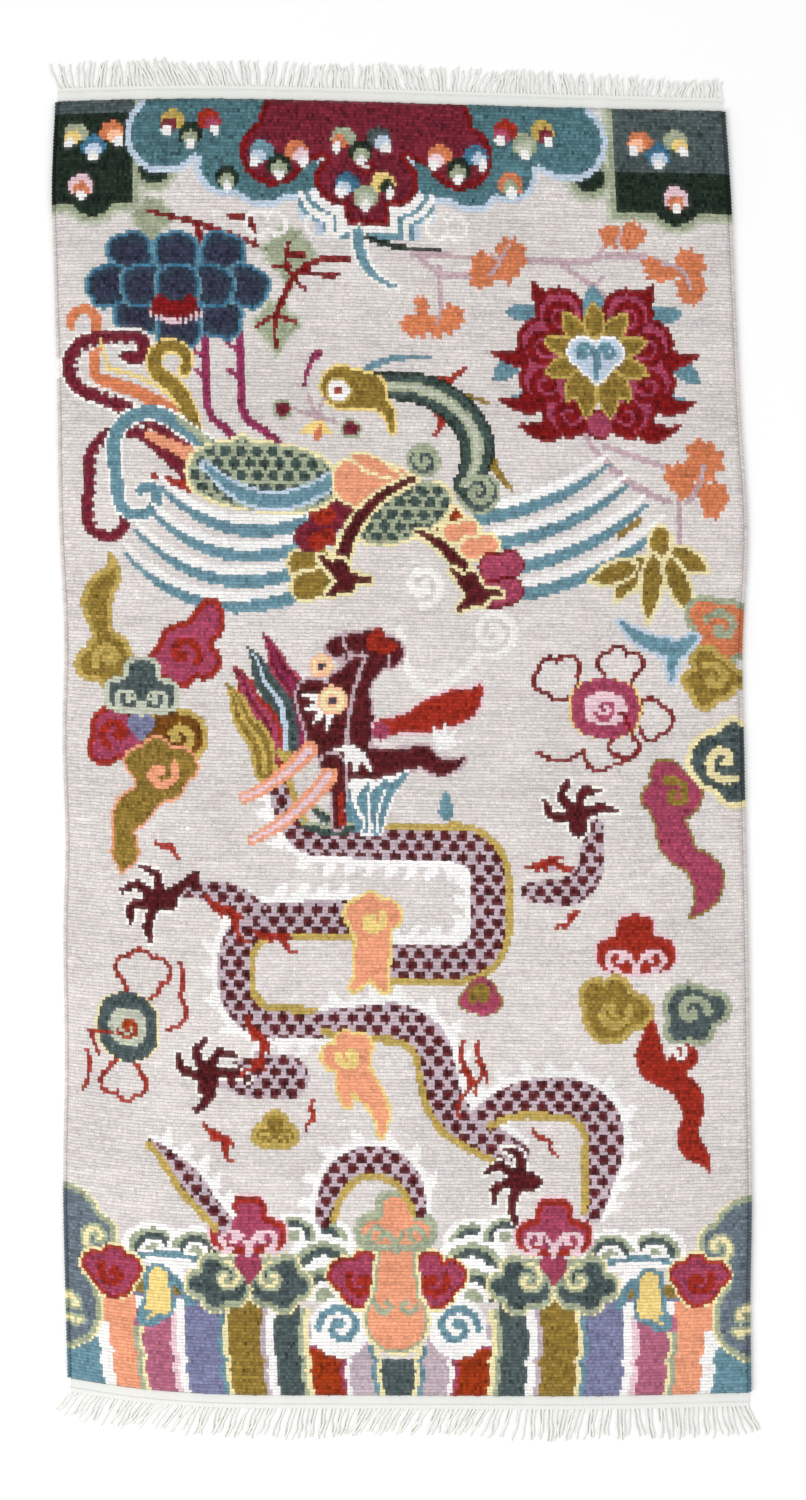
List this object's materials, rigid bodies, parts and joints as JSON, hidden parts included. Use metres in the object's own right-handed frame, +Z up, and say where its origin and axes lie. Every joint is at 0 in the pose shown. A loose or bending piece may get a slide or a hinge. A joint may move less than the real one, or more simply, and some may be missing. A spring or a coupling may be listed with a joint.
{
  "type": "tibetan rug",
  "caption": "Long hand-knotted pile rug lying flat, with overcast long sides and a short cotton fringe at each end.",
  "frame": {"origin": "middle of the rug's bounding box, on the floor under it", "axes": "+Z up out of the pile, +Y along the rug towards its head (the top of the picture), +X to the right"},
  "size_m": [0.9348, 1.8428, 0.0119],
  "materials": {
    "pile_wool": "sheared wool pile, matt",
    "selvedge_wool": "overcast wool yarn, matt",
    "fringe_cotton": "twisted cotton warp, matt"
  },
  "bodies": {
    "root": {"pile": "pile_wool", "selvedge_left": "selvedge_wool", "selvedge_right": "selvedge_wool", "fringe_head": "fringe_cotton", "fringe_foot": "fringe_cotton"}
  },
  "joints": []
}
